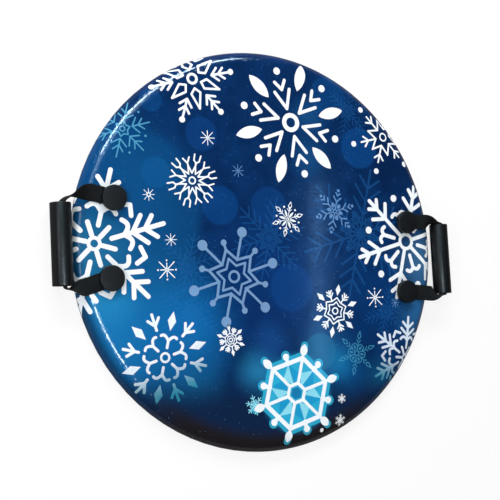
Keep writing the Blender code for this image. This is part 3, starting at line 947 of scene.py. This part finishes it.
# %% Where the snowflakes lie
LEAN = 19
PRINTED = [
    # name, marks, place in mm, degrees, ink, scale
    ("far_1", distant_flake, (-1, 15), LEAN, "far", 0.64),
    ("far_2", distant_flake, (159, 32), LEAN, "far", 1.05),
    ("far_3", distant_flake, (-131, -32), LEAN, "far", 0.50),
    ("far_4", distant_flake, (207, -89), LEAN, "far", 0.44),
    ("far_5", distant_flake, (-125, -100), LEAN + 9, "far", 0.50),
    ("far_6", distant_flake, (135, 225), LEAN, "far", 0.44),
    ("petal", petal_flake, (34, 195), LEAN - 1, "white", 1.0),
    ("kite", kite_flake, (-130, 241), LEAN - 2, "white", 1.0),
    ("hub_star", hub_star_flake, (-234, 155), LEAN, "teal", 1.0),
    ("fork", fork_flake, (-127, 91), LEAN - 1, "white", 0.94),
    ("anchor", anchor_flake, (-270, -9), LEAN, "white", 1.0),
    ("double_star", double_star_flake, (-58, -45), LEAN + 1, "pale", 1.0),
    ("curl", curl_flake, (-163, -163), LEAN + 1, "fading_white", 1.0),
    ("leaf_star", leaf_star_flake, (30, 46), LEAN, "white", 1.0),
    ("leafy", leafy_flake, (113, 64), LEAN, "hazy", 1.0),
    ("crown", crown_flake, (114, -90), LEAN + 2, "white", 1.0),
    ("small_crown", small_crown_flake, (-62, -137), LEAN + 23, "white", 1.0),
    ("lace", lace_flake, (153, -154), LEAN + 1, "dim_teal", 1.0),
    ("right_anchor", anchor_flake, (246, -160.6), LEAN + 7.3, "ice", 0.61),
    ("spoke", spoke_flake, (246, 25), LEAN, "white", 1.0),
    ("outlined_star", outlined_star_flake, (203, 191), LEAN - 2, "white", 1.0),
    ("rays_1", ray_star(12), (-104, 156), 4, "white", 1.0),
    ("rays_2", ray_star(10, 1.0), (-54, 112), 6, "hazy", 1.0),
    ("rays_3", ray_star(9.5, 0.9, open_middle=True), (-193, 65), 5, "white", 1.0),
    ("rays_4", ray_star(9.5, 0.9), (-158, 3), 5, "white", 1.0),
    ("rays_5", ray_star(16, 1.4, dotted=True), (-163, -40), 4, "white", 1.0),
    ("rays_6", ray_star(16.5, 1.5, dotted=True), (187, -67), 5, "white", 1.0),
    ("rays_7", ray_star(8, 0.9), (225, -74), 5, "hazy", 1.0),
    ("plate_halo", plate_halo, PLATE, LEAN, "halo", 1.0),
    ("plate_facets", plate_facets, PLATE, LEAN, "cyan", 1.0),
    ("plate_frame", plate_frame, PLATE, LEAN, "white", 1.0),
    ("plate_lights", plate_lights, PLATE, LEAN, "light_cyan", 1.0),
    ("tiny_1", fir_flake, (-22, -231), 48, "light_cyan", 0.26),
    ("tiny_2", fir_flake, (126, -223), 30, "white", 0.13),
    ("tiny_3", fir_flake, (124, -256), 30, "white", 0.17),
    ("snow_dot", dot(0, 3.2), (92, -270), 0, "white", 1.0),
]
# How high each ink stands, as a share of the full height: an ink over another has to be higher.
INK_HEIGHTS = {"far": 0.4, "halo": 0.4, "cyan": 0.6, "light_cyan": 0.8}
total = 0
for name, marks, centre, degrees, ink, scale in PRINTED:
    scaled = [[(x * scale, y * scale) for x, y in mark] for mark in marks]
    lift = INK_RAISE * INK_HEIGHTS.get(ink, 1.0)
    total += lay_on_film("print_" + name, scaled, centre, degrees, ink, lift)
print(len(PRINTED), "printed motifs,", total, "triangles on top")

# %% [markdown]
# ## Webbing
#
# The straps are flat polypropylene webbing, heat-cut at the ends.  Each one is a single length:
# clamped under the front cap, over the fold on which the handle swings, turned on edge on the
# way to the tube, through the tube, and back the same way.  From the fold to the tube it follows
# a smooth curve with a straight run at each end, and twists as it goes.  Cloth simulation would
# fold it too, but webbing this stiff keeps the line that it was sewn and bolted to, so the line
# is given.

# %% Line of the webbing
WIDTH, THICK = 24 * MM, 1.6 * MM
CAP_X, CAP_Y = CAP_PLACE[0] * MM, CAP_PLACE[1] * MM
FOLD_X = 266.5 * MM                # where the handle swings
TAIL = 14.5 * MM                   # webbing left past the bolt
STRAP_Z = TOP + 0.3 * MM + THICK / 2
GRIP_LENGTH, GRIP_WALL = 112.6 * MM, 1.5 * MM
GRIP_X, GRIP_Z = 314.827 * MM, 17.527 * MM
GRIP_LEAN = math.radians(4)        # the tubes do not lie quite straight along the sled
GRIP_ALONG = Vector((-math.sin(GRIP_LEAN), math.cos(GRIP_LEAN), 0))
SLIP = {"left": -12.5 * MM, "right": 0.6 * MM}     # how far each tube has slipped forwards
FLAT_STEPS, TWIST_STEPS, TUBE_STATIONS = 8, 40, 10
StrapEnd = namedtuple("StrapEnd", "splay twist start_run mouth_run twist_from twist_to rise pull")
STRAP_ENDS = {
    # splay and twist in degrees; straight runs in widths of webbing; where on the way the twist
    # starts and ends; then rise, and how far the webbing is pulled over to the sled's side of
    # the tube, in widths too
    "left_front": StrapEnd(9.76, 97.29, 0.966, 0.342, 0.005, 0.744, 0.415, 0.095),
    "left_rear": StrapEnd(20.01, 84.82, 0.401, 0.487, 0.280, 0.759, 0.054, 0.104),
    "right_front": StrapEnd(6.43, 89.10, 0.173, 0.115, 0.279, 0.699, 0.148, 0.034),
    "right_rear": StrapEnd(0.05, 98.08, 1.242, 0.346, 0.250, 0.551, 0.375, 0.0),
}


def smooth(value):
    """Ease from 0 to 1."""
    value = min(max(value, 0.0), 1.0)
    return value * value * (3 - 2 * value)


def strap_end(end, across, ahead, mouth):
    """Stations from the tail to the tube: middle, direction of the width, of the thickness."""
    splay = math.radians(end.splay)
    heading = Vector((across * math.cos(splay), ahead * math.sin(splay), 0))
    bolt = Vector((across * CAP_X, ahead * CAP_Y, STRAP_Z))
    fold = Vector((across * FOLD_X, ahead * (CAP_Y + (FOLD_X - CAP_X) * math.tan(splay)),
                   STRAP_Z))
    side = UP.cross(heading) * across * ahead
    tail = bolt - heading * TAIL
    stations = [(tail.lerp(fold, i / FLAT_STEPS), side, UP) for i in range(FLAT_STEPS)]
    first = fold + heading * end.start_run * WIDTH
    last = mouth + GRIP_ALONG * ahead * end.mouth_run * WIDTH
    for i in range(TWIST_STEPS + 1):
        s = i / TWIST_STEPS
        centre = ((1 - s) ** 3 * fold + 3 * s * (1 - s) ** 2 * first
                  + 3 * s * s * (1 - s) * last + s ** 3 * mouth)
        tangent = ((1 - s) ** 2 * (first - fold) + 2 * s * (1 - s) * (last - first)
                   + s * s * (mouth - last))
        tangent.z = 0
        tangent.normalize()
        centre.z += end.rise * WIDTH * math.sin(math.pi * s) ** 2
        flat = UP.cross(tangent) * across * ahead
        turn = math.radians(end.twist) * smooth((s - end.twist_from)
                                                / (end.twist_to - end.twist_from))
        width = flat * math.cos(turn) + UP * math.sin(turn)
        thick = tangent.cross(width).normalized() * across * ahead
        stations.append((centre, width, thick))
    return stations


print("the handles swing", round((FOLD_X - CAP_X) / MM, 1), "mm outside the middle of the caps")

# %% [markdown]
# ## Woven webbing
#
# Polypropylene webbing is woven: dull, with a rib across it at each weft thread, about 1.7 mm
# apart, and a warp thread every 1.5 mm of its width.  Real threads are finer; these are as
# coarse as they must be to show.  Two sine waves along the strap's own map make the weave, and a
# fine noise the loose fibres.  The colour follows their height, as painted shade: darker in the
# hollows of the weave, paler on its ribs.  Bump is enough for threads this low, and leaves the
# mesh light.

# %% Webbing material
WEFT, WARP = 1.7 * MM, 1.5 * MM
WEBBING, tree, shader = new_material("woven_polypropylene_webbing")
strap_place = add_node(tree, "ShaderNodeUVMap", uv_map="strap").outputs[0]
parts = add_node(tree, "ShaderNodeSeparateXYZ", {0: strap_place})
ribs = []
for socket, pitch in (("X", WEFT), ("Y", WARP)):
    phase = add_node(tree, "ShaderNodeMath", {0: parts.outputs[socket], 1: math.tau / pitch},
                     operation="MULTIPLY")
    ribs.append(add_node(tree, "ShaderNodeMath", {0: phase.outputs[0]},
                         operation="SINE").outputs[0])
crossing = add_node(tree, "ShaderNodeMath", {0: ribs[0], 1: ribs[1]}, operation="MULTIPLY")
relief = add_node(tree, "ShaderNodeMath", {0: ribs[0], 1: 0.6, 2: crossing.outputs[0]},
                  operation="MULTIPLY_ADD")
fuzz = add_node(tree, "ShaderNodeTexNoise", {"Vector": strap_place, "Scale": 1 / (0.5 * MM),
                                             "Detail": 3.0})
height = add_node(tree, "ShaderNodeMath", {0: fuzz.outputs["Fac"], 1: 0.8,
                                           2: relief.outputs[0]}, operation="MULTIPLY_ADD")
# painted shade: the colour follows the weave's height, darker in its hollows and paler on its ribs
tone = add_node(tree, "ShaderNodeMapRange", {0: height.outputs[0], 1: -1.2, 2: 2.0, 3: 0.0,
                                             4: 1.0})
colour = add_node(tree, "ShaderNodeMix", {0: tone.outputs[0], 6: linear("#060607"),
                                          7: linear("#131416")}, data_type="RGBA")
tree.links.new(colour.outputs[2], shader.inputs["Base Color"])
bump = add_node(tree, "ShaderNodeBump", {"Strength": 0.8, "Distance": 0.25 * MM,
                                         "Height": height.outputs[0]})
tree.links.new(bump.outputs[0], shader.inputs["Normal"])
shader.inputs["Roughness"].default_value = 0.72
shader.inputs["Specular IOR Level"].default_value = 0.15
shader.inputs["Sheen Weight"].default_value = 0.04
print("webbing threads every", WEFT / MM, "and", WARP / MM, "mm")

# %% [markdown]
# ## Sweeping the straps
#
# A cross-section with soft selvedges is swept along the stations.

# %% Sweep the webbing
SELVEDGE = [(-1.0, -0.35), (-0.96, -0.85), (-0.88, -1.0), (0.88, -1.0), (0.96, -0.85),
            (1.0, -0.35), (1.0, 0.35), (0.96, 0.85), (0.88, 1.0), (-0.88, 1.0),
            (-0.96, 0.85), (-1.0, 0.35)]


def swept(stations):
    """The strap's shape along its stations, with a map in metres along it, and its length."""
    shape = bmesh.new()
    strap_uv = shape.loops.layers.uv.new("strap")
    rings, runs, run = [], [], 0.0
    for n, (centre, width, thick) in enumerate(stations):
        if n:
            run += (centre - stations[n - 1][0]).length
        runs.append(run)
        rings.append([shape.verts.new(centre + width * a * WIDTH / 2 + thick * b * THICK / 2)
                      for a, b in SELVEDGE])
    count = len(SELVEDGE)
    for n in range(len(rings) - 1):
        for i in range(count):
            j = (i + 1) % count
            face = shape.faces.new((rings[n][i], rings[n][j], rings[n + 1][j], rings[n + 1][i]))
            spots = [(runs[n], SELVEDGE[i][0]), (runs[n], SELVEDGE[j][0]),
                     (runs[n + 1], SELVEDGE[j][0]), (runs[n + 1], SELVEDGE[i][0])]
            for loop, (u, v) in zip(face.loops, spots):
                loop[strap_uv].uv = (u, v * WIDTH / 2)
    for ends, run in ((rings[0], runs[0]), (list(reversed(rings[-1])), runs[-1])):
        face = shape.faces.new(ends)
        for loop in face.loops:
            loop[strap_uv].uv = (run, 0.0)
    bmesh.ops.recalc_face_normals(shape, faces=shape.faces)
    return shape, runs[-1]


for side_name, across in (("left", -1), ("right", 1)):
    front_end, rear_end = STRAP_ENDS[side_name + "_front"], STRAP_ENDS[side_name + "_rear"]
    middle = Vector((across * GRIP_X, SLIP[side_name], GRIP_Z))
    outward = UP.cross(GRIP_ALONG) * -across
    front_mouth = middle + GRIP_ALONG * GRIP_LENGTH / 2 - outward * front_end.pull * WIDTH
    rear_mouth = middle - GRIP_ALONG * GRIP_LENGTH / 2 - outward * rear_end.pull * WIDTH
    through = []
    for i in range(1, TUBE_STATIONS):
        s = i / TUBE_STATIONS
        twist = math.radians(front_end.twist + (rear_end.twist - front_end.twist) * s)
        through.append((front_mouth.lerp(rear_mouth, s),
                        outward * math.cos(twist) + UP * math.sin(twist),
                        UP * math.cos(twist) - outward * math.sin(twist)))
    # On the rear half the stations run backwards, so the same two directions still serve.
    stations = strap_end(front_end, across, 1, front_mouth) + through
    stations += reversed(strap_end(rear_end, across, -1, rear_mouth))
    shape, length = swept(stations)
    strap = new_piece(side_name + "_webbing", shape, WEBBING, None)
    strap.data.set_sharp_from_angle(angle=math.radians(50))
    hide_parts(side_name + "_strap_loop", side_name + "_front_strap_tab",
                side_name + "_rear_strap_tab")
    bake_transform(strap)
    print(side_name, "strap:", round(length / MM), "mm of webbing")

# %% [markdown]
# ## Moulded plastic
#
# Tubes, caps and washers are moulded in black polypropylene: a satin skin with a fine
# spark-eroded grain, and slightly paler, smoother places where hands rub it.  The grain is noise
# in the surface, at half a millimetre, which is about the finest that shows from arm's length.
# The caps and washers of the model already have their shapes, so they only get this finish.


# %% Moulded plastic
def moulded_plastic(name, colour, worn, roughness, grain, depth, shine):
    """Black plastic: two colours, roughness, size and depth of its grain, and how it shines."""
    material, tree, shader = new_material(name)
    place = add_node(tree, "ShaderNodeTexCoord").outputs["Object"]
    skin = add_node(tree, "ShaderNodeTexNoise", {"Vector": place, "Scale": 1 / grain,
                                                 "Detail": 2.0})
    rubbed = add_node(tree, "ShaderNodeTexNoise", {"Vector": place, "Scale": 1 / (16 * MM),
                                                   "Detail": 4.0})
    wear = add_node(tree, "ShaderNodeMapRange", {0: rubbed.outputs["Fac"], 1: 0.35, 2: 0.75,
                                                 3: 0.0, 4: 1.0})
    mixed = add_node(tree, "ShaderNodeMix", {0: wear.outputs[0], 6: linear(colour),
                                             7: linear(worn)}, data_type="RGBA")
    tree.links.new(mixed.outputs[2], shader.inputs["Base Color"])
    rough = add_node(tree, "ShaderNodeMapRange", {0: rubbed.outputs["Fac"], 1: 0.3, 2: 0.7,
                                                  3: roughness + 0.05, 4: roughness - 0.05})
    tree.links.new(rough.outputs[0], shader.inputs["Roughness"])
    bump = add_node(tree, "ShaderNodeBump", {"Strength": 0.5, "Distance": depth,
                                             "Height": skin.outputs["Fac"]})
    tree.links.new(bump.outputs[0], shader.inputs["Normal"])
    shader.inputs["IOR"].default_value = 1.49
    shader.inputs["Specular IOR Level"].default_value = shine
    return material


GRIP = moulded_plastic("moulded_polypropylene_tube", "#08090a", "#0e1012", 0.36, 0.5 * MM,
                       0.03 * MM, 0.45)
CAP = moulded_plastic("moulded_polypropylene_cap", "#0e0f11", "#14161a", 0.44, 0.6 * MM,
                      0.04 * MM, 0.25)
WASHER = moulded_plastic("moulded_polypropylene_washer", "#1c1c1e", "#242427", 0.55, 0.6 * MM,
                         0.04 * MM, 0.3)


def finish_node(node, material):
    """Give a carried-over node a new material, in every slot it has."""
    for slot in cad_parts[node].material_slots:
        slot.material = material


CORNERS = [f"{side}_{end}" for side in ("left", "right") for end in ("front", "rear")]
for corner in CORNERS:
    finish_node(corner + "_cap", CAP)
    finish_node(corner + "_washer", WASHER)
print("plastics on", len(CORNERS) * 2, "nodes")

# %% [markdown]
# ## Tubes
#
# The grips are plain tubes that turn on the webbing.  They are turned again here with more steps
# than the model's, and with rounded ends, because their long highlight would show every facet.
# Each has the place, length and bore of the node that it stands for.

# %% Tubes
TUBE_STEPS = 72
END_ARC = 4                        # steps in the rounding of each end
EDGE_ROUND = 0.9 * MM
for side_name in ("left", "right"):
    low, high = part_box(side_name + "_grip")
    middle = (low + high) / 2
    radius = (high.z - low.z) / 2
    bore = radius - GRIP_WALL
    half = GRIP_LENGTH / 2
    edge = [(radius - EDGE_ROUND + EDGE_ROUND * math.sin(math.pi / 2 * i / END_ARC),
             half - EDGE_ROUND + EDGE_ROUND * math.cos(math.pi / 2 * i / END_ARC))
            for i in range(END_ARC + 1)]
    section = edge + [(r, -y) for r, y in reversed(edge)] + [(bore, -half), (bore, half)]
    outward = UP.cross(GRIP_ALONG)
    shape = bmesh.new()
    rings = []
    for j in range(TUBE_STEPS):
        a = math.tau * j / TUBE_STEPS
        spoke = outward * math.cos(a) + UP * math.sin(a)
        rings.append([shape.verts.new(middle + spoke * r + GRIP_ALONG * y) for r, y in section])
    for j in range(TUBE_STEPS):
        one, two = rings[j], rings[(j + 1) % TUBE_STEPS]
        for i in range(len(section)):
            k = (i + 1) % len(section)
            shape.faces.new((one[i], one[k], two[k], two[i]))
    bmesh.ops.recalc_face_normals(shape, faces=shape.faces)
    tube = new_piece(side_name + "_tube_finish", shape, GRIP, side_name + "_tube")
    tube.data.set_sharp_from_angle(angle=math.radians(40))
    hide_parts(side_name + "_grip")
    print(side_name, "tube:", round(radius / MM, 2), "mm radius,", round(bore / MM, 2), "bore")

# %% [markdown]
# ## Running side
#
# The running side is a sheet of high-density polyethylene, extruded: smooth, a little waxy, with
# long fine scratches along the way the sled slides.  The scratches are a noise that is squeezed
# across that way and drawn out along it; its highest parts are the cuts that show.

# %% Running sheet
SCRATCH_WIDTH, SCRATCH_LENGTH = 0.7 * MM, 90 * MM
SHEET, tree, shader = new_material("extruded_polyethylene_sheet")
place = add_node(tree, "ShaderNodeTexCoord").outputs["Object"]
stretched = add_node(tree, "ShaderNodeVectorMath",
                     {0: place, 1: (1 / SCRATCH_WIDTH, 1 / SCRATCH_LENGTH, 1.0)},
                     operation="MULTIPLY")
scratch = add_node(tree, "ShaderNodeTexNoise", {"Vector": stretched.outputs[0], "Scale": 1.0,
                                                "Detail": 3.0})
cuts = add_node(tree, "ShaderNodeMapRange", {0: scratch.outputs["Fac"], 1: 0.60, 2: 0.72,
                                             3: 0.0, 4: 1.0})
waxy = add_node(tree, "ShaderNodeTexNoise", {"Vector": place, "Scale": 1 / (45 * MM),
                                             "Detail": 3.0})
tone = add_node(tree, "ShaderNodeMix", {0: cuts.outputs[0], 6: linear("#17181b"),
                                        7: linear("#35373b")}, data_type="RGBA")
tree.links.new(tone.outputs[2], shader.inputs["Base Color"])
rough = add_node(tree, "ShaderNodeMapRange", {0: waxy.outputs["Fac"], 1: 0.3, 2: 0.7, 3: 0.30,
                                              4: 0.44})
tree.links.new(rough.outputs[0], shader.inputs["Roughness"])
bump = add_node(tree, "ShaderNodeBump", {"Strength": 0.3, "Distance": 0.1 * MM,
                                         "Height": scratch.outputs["Fac"]})
tree.links.new(bump.outputs[0], shader.inputs["Normal"])
finish_node("slick_base", SHEET)
print("scratches of about", round(SCRATCH_LENGTH / MM), "mm on the running sheet")

# %% [markdown]
# ## Foam
#
# The core is cross-linked polyethylene foam: matt off-white, with closed cells of about 1 mm.  A
# Voronoi texture has such cells, and its distance from their middles makes each one a small
# hollow with a slightly paler wall.

# %% Foam
FOAM_CELL = 1.1 * MM
FOAM, tree, shader = new_material("cross_linked_polyethylene_foam")
place = add_node(tree, "ShaderNodeTexCoord").outputs["Object"]
cells = add_node(tree, "ShaderNodeTexVoronoi", {"Vector": place, "Scale": 1 / FOAM_CELL})
tone = add_node(tree, "ShaderNodeMix", {0: cells.outputs["Distance"], 6: linear("#e9eaec"),
                                        7: linear("#cfd2d6")}, data_type="RGBA")
tree.links.new(tone.outputs[2], shader.inputs["Base Color"])
bump = add_node(tree, "ShaderNodeBump", {"Strength": 0.6, "Distance": 0.3 * MM,
                                         "Height": cells.outputs["Distance"]})
tree.links.new(bump.outputs[0], shader.inputs["Normal"])
shader.inputs["Roughness"].default_value = 0.9
finish_node("foam_core", FOAM)
print("foam cells of", round(FOAM_CELL / MM, 1), "mm")

# %% [markdown]
# ## Bolts and nuts
#
# They are zinc-plated steel: a bright metal, slightly blotched, because the bath leaves crystals
# of a few millimetres that shine a little differently.  One noise gives both the tone and the
# roughness of each blotch.

# %% Bolts and nuts
BLOTCH = 2.5 * MM
ZINC, tree, shader = new_material("zinc_plated_steel")
place = add_node(tree, "ShaderNodeTexCoord").outputs["Object"]
spangle = add_node(tree, "ShaderNodeTexNoise", {"Vector": place, "Scale": 1 / BLOTCH,
                                                "Detail": 3.0})
tone = add_node(tree, "ShaderNodeMix", {0: spangle.outputs["Fac"], 6: linear("#b4b8bc"),
                                        7: linear("#d2d4d3")}, data_type="RGBA")
tree.links.new(tone.outputs[2], shader.inputs["Base Color"])
rough = add_node(tree, "ShaderNodeMapRange", {0: spangle.outputs["Fac"], 1: 0.3, 2: 0.7,
                                              3: 0.26, 4: 0.42})
tree.links.new(rough.outputs[0], shader.inputs["Roughness"])
shader.inputs["Metallic"].default_value = 1.0
for corner in CORNERS:
    finish_node(corner + "_bolt", ZINC)
    finish_node(corner + "_nut", ZINC)
print("zinc on", len(CORNERS) * 2, "fasteners")
